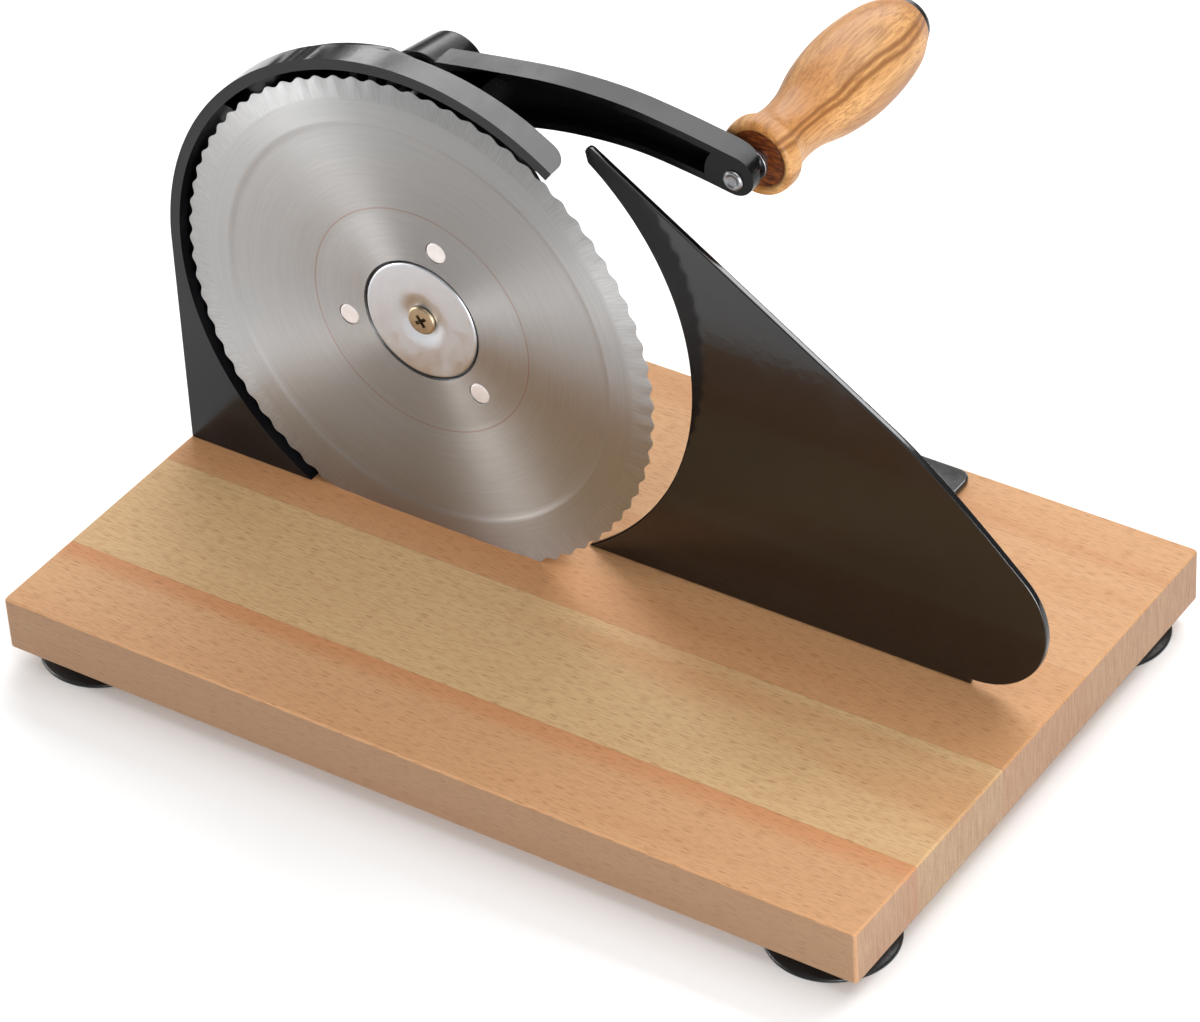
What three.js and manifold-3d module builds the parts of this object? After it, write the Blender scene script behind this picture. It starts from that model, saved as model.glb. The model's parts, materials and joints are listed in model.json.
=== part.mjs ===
// Hand-cranked bread slicer on a wooden board: a round wave-edge blade turned through a gear pair
// by a side crank, a sliding stop plate that sets the slice thickness, and suction feet.
// Millimetres, +Z up. The layout below is worked in board coordinates: X runs along the long edge
// from the left end, Y back from the front edge, and Z up from the board's top face.
import * as THREE from "three";
import { mergeVertices } from "three/addons/utils/BufferGeometryUtils.js";
import Module from "manifold-3d";

const wasm = await Module();
wasm.setup();

// ---- driving dimensions ----
const GAP = 0.3; // between pieces that touch
const RUN = 0.1; // radial clearance of a running fit
const board = { length: 340, depth: 225, thick: 21, edge: 1.5 };
const foot = { r: 22.6, high: 7, inset: 23 };
const blade = {
  x: 104.4,
  y: 107.8, // the front of its rim
  z: 83.8,
  r: 95,
  thick: 1.4,
  waves: 75,
  wave: 1.3, // depth of a wave
  dish: 3.3, // how far back the middle sits
  flat: 44, // radius where the dish starts
  step: 77, // and where it ends
  hole: 23.5,
};
const rivets = { r: 4, hole: 4.1, out: 31.5, turns: [74.4, 194.4, 314.4] };
const face = 106.8; // front plane of the housing, and of the blade slot's front wall
const guard = { inner: 98, outer: 102, end: 53.2, back: 116.8 };
const gears = { module: 2.5, blade: 45, crank: 15, y: 112.9, wide: 5.3, lean: 98, teethGap: 0.25 };
const wall = {
  y0: 119.2,
  y1: 122.4,
  lobe: 63,
  right: 152,
  // from the lobe up behind the guard: [degrees, radius] about the blade's centre
  rise: [[39, 65], [49, 75], [60, 83], [74, 88], [86, 96], [96, 100]],
};
const cover = { r: 63, thick: 2.6 };
const lugs = { r: 4, out: 95, front: 113, turns: [114, 143, 172] }; // where the frame's screws go in
const corner = { x: 11, z: 14 }; // the frame's lowest screw, in its solid corner
const flange = { x0: 4, x1: 150, back: 166, thick: 6, round: 6 };
const gussets = { at: [30, 77, 124], wide: 4, high: 40 };
const wheelFlange = { r: 22, hub: 14, back: 131, thick: 3, screws: 18, turn: 30 };
const bearing = { r: 20, hub: 10.5, back: 133, thick: 3, screws: 15.5, turn: 8 };
const screws = { shank: 2, head: 4.6, clear: 2.6, smallShank: 1.4, smallHead: 2.7, smallClear: 1.7 };
const axle = { r: 10, bush: 12, tail: 7.9, front: 113, back: 127.7 };
const gearRadius = (gears.module * gears.blade) / 2;
const pinionRadius = (gears.module * gears.crank) / 2;
const crank = {
  x: blade.x + (gearRadius + pinionRadius) * Math.cos(rad(gears.lean)),
  z: blade.z + (gearRadius + pinionRadius) * Math.sin(rad(gears.lean)),
  shaft: 5,
  hubFront: 136,
  hubBack: 157,
};
const arm = { back: 145.5, end: { x: 216.6, z: 164.2, r: 7.2 }, rib: 2.6, recess: 5.5 };
const grip = { x: 216.1, z: 162.5, front: 149.2, back: 246, bore: 3.6 };
const plate = {
  y: 124,
  thick: 2.5,
  gap: 4.5, // between its hollow edge and the blade
  tip: { x: 168.9, z: 164.5, r: 2 },
  bend: { x: 309.7, z: 30.5, r: 28.2 }, // the round lower right corner
};
const tongue = { x0: 198, x1: 254, back: 221.5, corner: 5 };
const slide = { in: 16, out: 2 }; // travel of the stop plate either way from where it stands
const clampAt = { x: 226, y: 180, stud: 3 };
const guides = [
  { x: 208, y: 146 },
  { x: 244, y: 146 },
];

// ---- materials ----
const finish = (color, roughness, metalness) =>
  new THREE.MeshStandardMaterial({ color, roughness, metalness });
const beech = finish(0xd9ae7c, 0.55, 0);
const turnedWood = finish(0xcf9a5c, 0.4, 0);
const enamel = finish(0x141416, 0.25, 0.1);
const rubber = finish(0x0e0e10, 0.6, 0);
const plastic = finish(0x17171a, 0.4, 0);
const stainless = finish(0xb9b6b0, 0.3, 1);
const steel = finish(0x9a9a9c, 0.35, 1);
const zinc = finish(0xc4c6c8, 0.3, 1);
const bronze = finish(0xa8824e, 0.35, 1);
const sinteredSteel = finish(0x6f7073, 0.5, 1);

// ---- helpers ----
function rad(degrees) {
  return (degrees * Math.PI) / 180;
}

// A three.js geometry as a manifold solid.
function solid(geometry) {
  const bare = new THREE.BufferGeometry();
  bare.setAttribute("position", geometry.getAttribute("position"));
  if (geometry.index) bare.setIndex(geometry.index);
  const merged = mergeVertices(bare, 1e-4);
  const index = merged.index.array;
  const kept = [];
  for (let i = 0; i < index.length; i += 3) {
    const [a, b, c] = index.slice(i, i + 3);
    if (a !== b && b !== c && c !== a) kept.push(a, b, c);
  }
  const mesh = new wasm.Mesh({
    numProp: 3,
    vertProperties: merged.attributes.position.array,
    triVerts: new Uint32Array(kept),
  });
  return new wasm.Manifold(mesh);
}

// A manifold solid as a named mesh.
function named(name, shape, material) {
  const { numProp, vertProperties, triVerts } = shape.getMesh();
  const position = new Float32Array((vertProperties.length / numProp) * 3);
  for (let i = 0; i < position.length / 3; i++)
    position.set(vertProperties.subarray(i * numProp, i * numProp + 3), i * 3);
  const geometry = new THREE.BufferGeometry();
  geometry.setAttribute("position", new THREE.BufferAttribute(position, 3));
  geometry.setIndex(new THREE.BufferAttribute(triVerts, 1));
  geometry.computeVertexNormals();
  const mesh = new THREE.Mesh(geometry, material);
  mesh.name = name;
  return mesh;
}

// A profile of [radius, height] pairs, turned about its height axis. A profile that leaves the
// axis closes on itself.
function turned(profile, segments) {
  const points = profile.map(([r, height]) => new THREE.Vector2(r, height));
  const onAxis = points[0].x === 0 && points.at(-1).x === 0;
  if (!onAxis) points.push(points[0].clone());
  if (THREE.ShapeUtils.area(points) < 0) points.reverse();
  return new THREE.LatheGeometry(points, segments);
}

// The same, placed on a line along Y through (x, z), or on a vertical line through (x, y).
const turnedY = (profile, x, z, segments) => solid(turned(profile, segments).translate(x, 0, z));
const turnedZ = (profile, x, y, segments) =>
  solid(turned(profile, segments).rotateX(Math.PI / 2).translate(x, y, 0));

const rodY = (r, y0, y1, x, z, segments = 24) =>
  turnedY([[0, y0], [r, y0], [r, y1], [0, y1]], x, z, segments);
const rodZ = (r, z0, z1, x, y, segments = 24) =>
  turnedZ([[0, z0], [r, z0], [r, z1], [0, z1]], x, y, segments);

// A shape drawn in X and Z, pulled from y0 to y1.
function slabY(shape, y0, y1, curveSegments = 12) {
  const settings = { depth: y1 - y0, bevelEnabled: false, curveSegments };
  const pulled = new THREE.ExtrudeGeometry(shape, settings);
  return solid(pulled.rotateX(Math.PI / 2).translate(0, y1, 0));
}

// A shape drawn in X and Y, pulled from z0 to z1.
function slabZ(shape, z0, z1, curveSegments = 8) {
  const settings = { depth: z1 - z0, bevelEnabled: false, curveSegments };
  return solid(new THREE.ExtrudeGeometry(shape, settings).translate(0, 0, z0));
}

function box(x0, x1, y0, y1, z0, z1) {
  const block = new THREE.BoxGeometry(x1 - x0, y1 - y0, z1 - z0);
  return solid(block.translate((x0 + x1) / 2, (y0 + y1) / 2, (z0 + z1) / 2));
}

// A rectangle with rounded corners.
function roundedRectangle(x0, x1, y0, y1, r) {
  const shape = new THREE.Shape();
  shape.moveTo(x0 + r, y0);
  shape.lineTo(x1 - r, y0);
  shape.absarc(x1 - r, y0 + r, r, -Math.PI / 2, 0);
  shape.lineTo(x1, y1 - r);
  shape.absarc(x1 - r, y1 - r, r, 0, Math.PI / 2);
  shape.lineTo(x0 + r, y1);
  shape.absarc(x0 + r, y1 - r, r, Math.PI / 2, Math.PI);
  shape.lineTo(x0, y0 + r);
  shape.absarc(x0 + r, y0 + r, r, Math.PI, 1.5 * Math.PI);
  return shape;
}

// A slot along Y, round at both ends.
const slot = (x, y0, y1, r) => roundedRectangle(x - r, x + r, y0, y1, r - 0.01);

// A spur gear's outline about (x, z): four points to a tooth, thinned a little for backlash.
function gearShape(teeth, x, z, turn) {
  const pitch = (gears.module * teeth) / 2;
  const root = pitch - 1.2 * gears.module;
  const tip = pitch + 0.95 * gears.module;
  const step = (2 * Math.PI) / teeth;
  const thin = gears.teethGap / pitch;
  const atRoot = 0.32 * step - thin;
  const atTip = 0.13 * step - thin / 2;
  const shape = new THREE.Shape();
  for (let i = 0; i < teeth; i++) {
    const middle = turn + i * step;
    const corners = [[root, -atRoot], [tip, -atTip], [tip, atTip], [root, atRoot]];
    for (const [r, shift] of corners) {
      const px = x + r * Math.cos(middle + shift);
      const pz = z + r * Math.sin(middle + shift);
      if (shape.curves.length || shape.currentPoint.length()) shape.lineTo(px, pz);
      else shape.moveTo(px, pz);
    }
  }
  shape.closePath();
  return shape;
}

// ---- base ----
function baseBoard() {
  const { length, depth, thick, edge } = board;
  const outline = roundedRectangle(edge, length - edge, edge, depth - edge, 0.6);
  const pulled = new THREE.ExtrudeGeometry(outline, {
    depth: thick - 2 * edge,
    bevelThickness: edge,
    bevelSize: edge,
    bevelSegments: 1,
    curveSegments: 2,
  });
  const halfSlot = Math.sqrt(guard.inner ** 2 - blade.z ** 2) + 1.5;
  let body = solid(pulled.translate(0, 0, -thick + edge));
  body = body.subtract(box(blade.x - halfSlot, blade.x + halfSlot, face, face + 6.4, -14, 1));
  for (const [x, y] of footPlaces()) body = body.subtract(rodZ(2.2, -thick - 1, -thick + 12, x, y, 12));
  for (const [x, y] of flangeScrews()) body = body.subtract(rodZ(2.2, -14, 1, x, y, 12));
  for (const { x, y } of guides) body = body.subtract(rodZ(2.7, -13, 1, x, y, 12));
  return body.subtract(rodZ(5 + GAP, -13, 1, clampAt.x, clampAt.y, 20));
}

function footPlaces() {
  const { inset } = foot;
  const [right, back] = [board.length - inset, board.depth - inset];
  return [[inset, inset], [right, inset], [inset, back], [right, back]];
}

// A rubber cup: a flat sealing rim round an open hollow, and a seat for its screw.
function suctionFoot([x, y]) {
  const top = -board.thick - GAP;
  const low = -board.thick - foot.high;
  const profile = [
    [2.4, top],
    [11, top],
    [13.5, top - 2.2],
    [foot.r, low + 1.2],
    [foot.r, low],
    [foot.r - 2.4, low],
    [12, low + 2.8],
    [2.4, low + 3.2],
  ];
  return turnedZ(profile, x, y, 20);
}

function footScrew([x, y]) {
  const seat = -board.thick - foot.high + 3.2 - 0.2;
  const { shank, head } = screws;
  const profile = [[0, seat - 1.8], [3, seat - 1.8], [head, seat], [shank, seat], [shank, -12], [0, -10.5]];
  return turnedZ(profile, x, y, 14);
}

// ---- housing ----
// A point on a circle about the blade's centre, in X and Z.
function aboutBlade(r, degrees) {
  return [blade.x + r * Math.cos(rad(degrees)), blade.z + r * Math.sin(rad(degrees))];
}

// Front outline: a near-upright left edge, the round of the guard, and a straight foot.
function frontOutline(outer, end) {
  const shape = new THREE.Shape();
  const start = Math.PI + Math.asin((blade.z - GAP) / guard.inner);
  shape.moveTo(1, GAP);
  shape.lineTo(blade.x + guard.inner * Math.cos(start), GAP);
  shape.absarc(blade.x, blade.z, guard.inner, start, rad(end), true);
  shape.absarc(blade.x, blade.z, outer, rad(end), Math.PI, false);
  return shape;
}

const lugPlaces = () => lugs.turns.map((turn) => aboutBlade(lugs.out, turn));
const framePlaces = () => [...lugPlaces(), [corner.x, corner.z]];

// The front frame: blade guard, lower left corner, and lugs for the screws that hold it.
function frontFrame() {
  const back = wall.y0 - GAP;
  const rim = slabY(frontOutline(guard.outer, guard.end), face, guard.back, 24);
  const shoulderEnd = wall.rise.at(-1)[0];
  let body = rim.add(slabY(frontOutline(guard.outer - 1.6, shoulderEnd), guard.back - 0.1, back, 24));
  for (const [x, z] of lugPlaces()) body = body.add(rodY(lugs.r, lugs.front, back, x, z, 16));
  for (const [x, z] of framePlaces())
    body = body.subtract(rodY(screws.smallShank + GAP, lugs.front + 1, 125, x, z, 10));
  return body;
}

// The wall behind the blade and gears: a round lobe over the gears and a straight foot.
function wallOutline() {
  const { lobe, right, rise } = wall;
  const [top, outer] = rise.at(-1);
  const shape = new THREE.Shape();
  shape.moveTo(1, GAP);
  shape.lineTo(right, GAP);
  shape.lineTo(right, 12);
  shape.quadraticCurveTo(right, 36, ...aboutBlade(lobe, -25));
  shape.absarc(blade.x, blade.z, lobe, rad(-25), rad(30));
  shape.splineThru(rise.map(([turn, r]) => new THREE.Vector2(...aboutBlade(r, turn))));
  shape.absarc(blade.x, blade.z, outer, rad(top), Math.PI);
  return shape;
}

function flangeScrews() {
  return [[16, 134], [16, 156], [138, 134], [138, 156]];
}

// Three screw places round a flange's centre.
function aroundFlange({ screws: r, turn }, x, z) {
  return [0, 120, 240].map((more) => [
    x + r * Math.cos(rad(turn + more)),
    z + r * Math.sin(rad(turn + more)),
  ]);
}

const wheelPlaces = () => aroundFlange(wheelFlange, blade.x, blade.z);
const bearingPlaces = () => aroundFlange(bearing, crank.x, crank.z);

function backWall() {
  const { x0, x1, back, thick, round } = flange;
  let body = slabY(wallOutline(), wall.y0, wall.y1, 14);
  body = body.add(slabZ(roundedRectangle(x0, x1, wall.y1 - 2, back, round), GAP, thick + GAP, 5));
  for (const x of gussets.at) body = body.add(gusset(x));
  body = body.subtract(rodY(7, 110, 150, crank.x, crank.z, 20));
  body = body.subtract(rodY(8, 110, 128, blade.x, blade.z, 20));
  for (const [x, y] of flangeScrews()) body = body.subtract(rodZ(screws.clear, -1, 10, x, y, 12));
  const drilled = [...framePlaces(), ...wheelPlaces(), ...bearingPlaces()];
  for (const [x, z] of drilled) body = body.subtract(rodY(screws.smallClear, 110, 125, x, z, 10));
  return body;
}

// A triangular web between the back wall and the foot flange.
function gusset(x) {
  const web = new THREE.Shape();
  web.moveTo(wall.y1 - 1, 4);
  web.lineTo(152, 4);
  web.lineTo(150, 8);
  web.lineTo(wall.y1 - 1, gussets.high);
  const pulled = new THREE.ExtrudeGeometry(web, { depth: gussets.wide, bevelEnabled: false });
  const upright = pulled.rotateX(Math.PI / 2).rotateZ(Math.PI / 2);
  return solid(upright.translate(x - gussets.wide / 2, 0, 0));
}

// The ring that keeps crumbs off the gears. It opens where the pinion meets the gear.
function gearCover() {
  const { r, thick } = cover;
  const [front, back] = [gears.y - 0.6, wall.y0 - GAP];
  const profile = [[r - thick, front], [r - 0.6, front], [r, back], [r - thick, back]];
  const ring = turnedY(profile, blade.x, blade.z, 36);
  return ring.subtract(rodY(pinionRadius + 3.6, front - 1, back + 1, crank.x, crank.z, 20));
}

// A screwed-on flange with a hub, bored through.
function boredFlange({ r, hub, back, thick }, places, bore, x, z) {
  const front = wall.y1 + GAP;
  const step = front + thick;
  const profile = [[bore, front], [r, front], [r, step - 0.6], [r - 0.6, step], [hub + 1, step]];
  profile.push([hub, step + 1], [hub, back - 0.8], [hub - 0.8, back], [bore, back]);
  let body = turnedY(profile, x, z, 28);
  for (const [px, pz] of places)
    body = body.subtract(rodY(screws.smallClear, front - 1, step + 1, px, pz, 10));
  return body;
}

const axleFlange = () => boredFlange(wheelFlange, wheelPlaces(), 8, blade.x, blade.z);
const crankBearing = () => boredFlange(bearing, bearingPlaces(), 7, crank.x, crank.z);

// A pan-head screw along Y: its shank reaches forward to tip, and its head sits behind seat.
function smallScrew([x, z], tip, seat) {
  const { smallShank: shank, smallHead: head } = screws;
  const profile = [[0, tip], [shank, tip + 1], [shank, seat], [head, seat]];
  profile.push([head, seat + 0.9], [head - 1, seat + 1.7], [0, seat + 1.7]);
  return turnedY(profile, x, z, 14);
}

const frameScrew = (place) => smallScrew(place, lugs.front + 2, wall.y1 + GAP);
const flangeFixing = (place) => smallScrew(place, wall.y0 + 0.3, wall.y1 + 2 * GAP + bearing.thick);

function flangeScrew([x, y]) {
  const seat = flange.thick + 2 * GAP;
  const { shank, head } = screws;
  const profile = [[0, -13], [shank, -11.5], [shank, seat], [head, seat], [head, seat + 1.6]];
  profile.push([head - 1.4, seat + 3], [0, seat + 3]);
  return turnedZ(profile, x, y, 16);
}

// ---- blade and drive ----
// A dished disc with a ground bevel; the rim's radius rises and falls once for each wave.
function bladeDisc() {
  const { r, y, thick, dish, hole, waves, wave, flat, step } = blade;
  const middle = y + dish;
  const lathe = turned([
    [hole, middle],
    [flat, middle],
    [step, y],
    [r, y + thick - 0.3],
    [step, y + thick],
    [flat, middle + thick],
    [hole, middle + thick],
  ], 2 * waves);
  const at = lathe.getAttribute("position");
  for (let i = 0; i < at.count; i++) {
    const [px, pz] = [at.getX(i), at.getZ(i)];
    const radius = Math.hypot(px, pz);
    const odd = Math.round((Math.atan2(px, pz) / Math.PI) * waves) % 2 !== 0;
    if (radius < r - 1 || !odd) continue;
    at.setX(i, (px * (r - wave)) / radius);
    at.setZ(i, (pz * (r - wave)) / radius);
  }
  return solid(lathe.translate(blade.x, 0, blade.z)).subtract(rivetHoles());
}

const rivetPlaces = () => rivets.turns.map((turn) => aboutBlade(rivets.out, turn));

function rivetHoles() {
  const holes = rivetPlaces().map(([x, z]) => rodY(rivets.hole, 105, 125, x, z, 20));
  return holes[0].add(holes[1]).add(holes[2]);
}

function bladeGear() {
  const { y, wide } = gears;
  const disc = slabY(gearShape(gears.blade, blade.x, blade.z, rad(gears.lean)), y, y + wide);
  const bore = rodY(axle.bush + GAP, y - 5, y + wide + 5, blade.x, blade.z, 32);
  return disc.subtract(bore).subtract(rivetHoles());
}

function bladeRivet([x, z]) {
  const front = blade.y + blade.dish + 0.05;
  return rodY(rivets.r, front, gears.y + gears.wide + 0.5, x, z, 20);
}

// The bronze bush pressed in the gear, which runs on the axle.
function gearBush() {
  const [front, back] = [gears.y, gears.y + gears.wide];
  const inner = axle.r + RUN;
  const outer = axle.bush;
  return turnedY([[inner, front], [outer, front], [outer, back], [inner, back]], blade.x, blade.z, 32);
}

function thrustWasher() {
  const [front, back] = [gears.y + gears.wide + GAP, wall.y0 - GAP];
  const inner = axle.r + GAP;
  return turnedY([[inner, front], [15, front], [15, back], [inner, back]], blade.x, blade.z, 28);
}

function bladeAxle() {
  const { r, tail, front, back } = axle;
  const shoulder = wall.y0 - GAP;
  const profile = [[0, front], [r, front], [r, shoulder], [tail, shoulder], [tail, back], [0, back]];
  const tapped = rodY(2.6, front - 1, front + 11, blade.x, blade.z, 20);
  return turnedY(profile, blade.x, blade.z, 32).subtract(tapped);
}

// A polished cover disc, dished towards its screw, that keeps the blade on its axle.
function retainingDisc() {
  const front = blade.y + blade.dish;
  const profile = [[2.8, front + 0.7], [8, front + 0.7], [16, front - 0.1], [21.6, front]];
  profile.push([22.4, front + 0.5], [22.4, front + 1.5], [2.8, front + 1.5]);
  return turnedY(profile, blade.x, blade.z, 36);
}

function bladeScrew() {
  const seat = blade.y + blade.dish + 0.7 - 0.2;
  const profile = [[0, seat - 2.2], [3.8, seat - 2.2], [5.6, seat - 1], [5.6, seat]];
  profile.push([2.4, seat], [2.4, 121], [0, 122.5]);
  const screw = turnedY(profile, blade.x, blade.z, 24);
  return screw.subtract(crossBar(seat, 35)).subtract(crossBar(seat, 125));
}

// One of the two bars of the screw's cross recess, turned about the screw.
function crossBar(seat, degrees) {
  const bar = new THREE.BoxGeometry(5.2, 3.2, 1.1).rotateY(rad(degrees));
  return solid(bar.translate(blade.x, seat - 2.4, blade.z));
}

function drivePinion() {
  const { y, wide } = gears;
  const turn = rad(gears.lean) + Math.PI + Math.PI / gears.crank;
  const body = slabY(gearShape(gears.crank, crank.x, crank.z, turn), y, y + wide);
  return body.subtract(rodY(crank.shaft + GAP, y - 5, y + wide + 5, crank.x, crank.z, 24));
}

function crankShaft() {
  const r = crank.shaft;
  const front = gears.y - 1.4;
  const collar = gears.y - GAP;
  const profile = [[0, front], [6.6, front], [6.6, collar], [r, collar], [r, 151], [0, 151]];
  return turnedY(profile, crank.x, crank.z, 24).subtract(rodY(2.4, 141, 152, crank.x, crank.z, 16));
}

// The flanged bush that carries the shaft in its bearing.
function crankBush() {
  const inner = crank.shaft + RUN;
  const front = wall.y0 + 0.1;
  const collar = bearing.back + GAP;
  const back = bearing.back + 1.8;
  const profile = [[inner, front], [6.7, front], [6.7, collar], [12.5, collar], [12.5, back], [inner, back]];
  return turnedY(profile, crank.x, crank.z, 24);
}

// ---- crank ----
function armOutline(inset) {
  const { x, z, r } = arm.end;
  const shape = new THREE.Shape();
  shape.moveTo(crank.x + 6, crank.z + 13.5 - inset);
  shape.splineThru([
    new THREE.Vector2(124, 175.2 - inset),
    new THREE.Vector2(148, 178 - inset),
    new THREE.Vector2(172, 178.2 - inset),
    new THREE.Vector2(194, 175.6 - inset),
    new THREE.Vector2(x + 1, z + r - inset),
  ]);
  shape.absarc(x, z, r - inset, rad(82), rad(-100), true);
  shape.splineThru([
    new THREE.Vector2(200, 159.7 + inset),
    new THREE.Vector2(180, 161.9 + inset),
    new THREE.Vector2(160, 161.2 + inset),
    new THREE.Vector2(140, 158.2 + inset),
    new THREE.Vector2(122, 152.8 + inset),
    new THREE.Vector2(crank.x + 9, crank.z - 11.5 + inset),
  ]);
  return shape;
}

function crankArm() {
  const { hubFront, hubBack } = crank;
  const bar = slabY(armOutline(0), hubFront, arm.back, 5);
  const keepHub = rodY(15.5, 130, 160, crank.x, crank.z, 32);
  const keepEnd = rodY(12.5, 130, 160, grip.x + 1.5, grip.z, 32);
  const channel = slabY(armOutline(arm.rib), hubFront - 1, hubFront + arm.recess, 5);
  const cone = [[0, hubFront], [14.2, hubFront], [15, hubFront + 0.8], [12.4, hubBack - 1]];
  cone.push([11.4, hubBack], [0, hubBack]);
  const hub = turnedY(cone, crank.x, crank.z, 36);
  return bar
    .subtract(channel.subtract(keepHub).subtract(keepEnd))
    .add(hub)
    .subtract(rodY(crank.shaft + GAP, 130, 151 + GAP, crank.x, crank.z, 24))
    .subtract(rodY(2.7, 130, 160, crank.x, crank.z, 16))
    .subtract(rodY(6.6, 153, 160, crank.x, crank.z, 24))
    .subtract(rodY(3 + GAP, 130, 150, grip.x, grip.z, 20));
}

function crankScrew() {
  const profile = [[0, 142.5], [2.1, 143.5], [2.1, 153 + GAP], [5.6, 153 + GAP], [5.6, 156.3], [0, 156.3]];
  const socket = rodY(2.3, 154.2, 157, crank.x, crank.z, 6);
  return turnedY(profile, crank.x, crank.z, 20).subtract(socket);
}

// A shouldered rivet pin: a head on the arm's face, and a long plain end the grip turns on.
function handleAxle() {
  const { x, z, front } = grip;
  const head = crank.hubFront;
  const profile = [
    [0, head - 1.1],
    [2.4, head - 1.1],
    [3.7, head - GAP],
    [3, head - GAP],
    [3, arm.back + GAP],
    [3.5, arm.back + GAP],
    [3.5, front + 68],
    [0, front + 68],
  ];
  return turnedY(profile, x, z, 16);
}

function handleWasher() {
  const profile = [[3.9, 146.4], [7, 146.4], [7, 148], [3.9, 148]];
  return turnedY(profile, grip.x, grip.z, 16);
}

// The turned grip: collar, narrow neck, full belly and a tapered rear end, drilled for its pin.
function handleGrip() {
  const { x, z, front, bore } = grip;
  const outline = new THREE.SplineCurve([
    new THREE.Vector2(14, 157.2),
    new THREE.Vector2(11.6, 161),
    new THREE.Vector2(10.6, 168),
    new THREE.Vector2(11.4, 178),
    new THREE.Vector2(14.6, 191),
    new THREE.Vector2(16.3, 205),
    new THREE.Vector2(16, 219),
    new THREE.Vector2(14.1, 232),
    new THREE.Vector2(10.6, 241),
  ]);
  const side = outline.getPoints(11).map((p) => [p.x, p.y]);
  const collar = [[bore, front + 1], [11.6, front + 1], [12.4, front], [13.6, front + 0.6]];
  collar.push([14.3, front + 3], [14.3, 156]);
  const profile = [...collar, ...side, [10, 241.8], [bore, 241.8]];
  return turnedY(profile, x, z, 28);
}

function handleCap() {
  const { x, z, back } = grip;
  const profile = [[0, 236], [3.4, 236], [3.4, 242.1], [9.6, 242.1], [9.2, 244]];
  profile.push([7.6, back - 0.4], [6, back], [0, back]);
  return turnedY(profile, x, z, 24);
}

// ---- stop plate ----
// Front outline: a hollow left edge concentric with the blade, a small round tip, a long
// straight slope down to the right, and a large round corner just clear of the board.
function plateOutline() {
  const { tip, gap, bend } = plate;
  const r = blade.r + gap;
  const shape = new THREE.Shape();
  shape.moveTo(309, GAP);
  shape.lineTo(309.3, bend.z - bend.r);
  shape.absarc(bend.x, bend.z, bend.r, rad(-91), rad(45));
  shape.quadraticCurveTo(297.5, 82.5, 281, 93.3);
  shape.lineTo(tip.x + tip.r * Math.cos(rad(56)), tip.z + tip.r * Math.sin(rad(56)));
  shape.absarc(tip.x, tip.z, tip.r, rad(56), rad(200));
  shape.absarc(blade.x, blade.z, r, rad(50.5), Math.asin((GAP - blade.z) / r), true);
  return shape;
}

function stopPlate() {
  const { y, thick } = plate;
  const upright = slabY(plateOutline(), y, y + thick, 16);
  const sole = new THREE.Shape();
  sole.moveTo(tongue.x0, y + thick - 0.5);
  sole.lineTo(tongue.x1, y + thick - 0.5);
  sole.lineTo(tongue.x1, tongue.back - tongue.corner);
  const { x0, x1, back, corner: r } = tongue;
  sole.absarc(x1 - r, back - r, r, 0, Math.PI / 2);
  sole.absarc(x0 + r, back - r, r, Math.PI / 2, Math.PI);
  let body = upright.add(slabZ(sole, GAP, GAP + thick));
  for (const { x, y: at } of guides)
    body = body.subtract(slabZ(slot(x, at - slide.out - 3.4, at + slide.in + 3.4, 2.7), -1, 5));
  const { x, y: at, stud } = clampAt;
  const clampSlot = slot(x, at - slide.out - stud - 1, at + slide.in + stud + 1, stud + GAP);
  return body.subtract(slabZ(clampSlot, -1, 5));
}

function guideScrew({ x, y }) {
  const seat = 2 * GAP + plate.thick;
  const profile = [[0, -12], [2.4, -10.5], [2.4, seat], [4.8, seat], [4.8, seat + 1.2]];
  profile.push([3.4, seat + 2.4], [0, seat + 2.4]);
  return turnedZ(profile, x, y, 16);
}

function clampInsert() {
  return turnedZ([[3.1, -12], [5, -12], [5, -0.2], [3.1, -0.2]], clampAt.x, clampAt.y, 20);
}

function clampStud() {
  return turnedZ([[0, -11], [2.9, -10], [2.9, 15], [0, 15]], clampAt.x, clampAt.y, 20);
}

function clampWasher() {
  const low = 2 * GAP + plate.thick;
  return turnedZ([[3.3, low], [8, low], [8, low + 1.4], [3.3, low + 1.4]], clampAt.x, clampAt.y, 24);
}

// A lobed knob with a blind hole for the stud.
function clampKnob() {
  const low = 3 * GAP + plate.thick + 1.4;
  const lobes = 6;
  const shape = new THREE.Shape();
  const steps = 48;
  for (let i = 0; i < steps; i++) {
    const turn = (2 * Math.PI * i) / steps;
    const r = 12.4 + 1.6 * Math.cos(lobes * turn);
    const [px, py] = [clampAt.x + r * Math.cos(turn), clampAt.y + r * Math.sin(turn)];
    if (i) shape.lineTo(px, py);
    else shape.moveTo(px, py);
  }
  shape.closePath();
  const top = slabZ(shape, low + 4, low + 14);
  const neck = rodZ(8, low, low + 4.1, clampAt.x, clampAt.y, 24);
  return top.add(neck).subtract(rodZ(2.9 + GAP, low - 1, 15 + GAP, clampAt.x, clampAt.y, 20));
}

// ---- assembly ----
const slicer = new THREE.Group();
const add = (name, shape, material) => slicer.add(named(name, shape, material));

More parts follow.
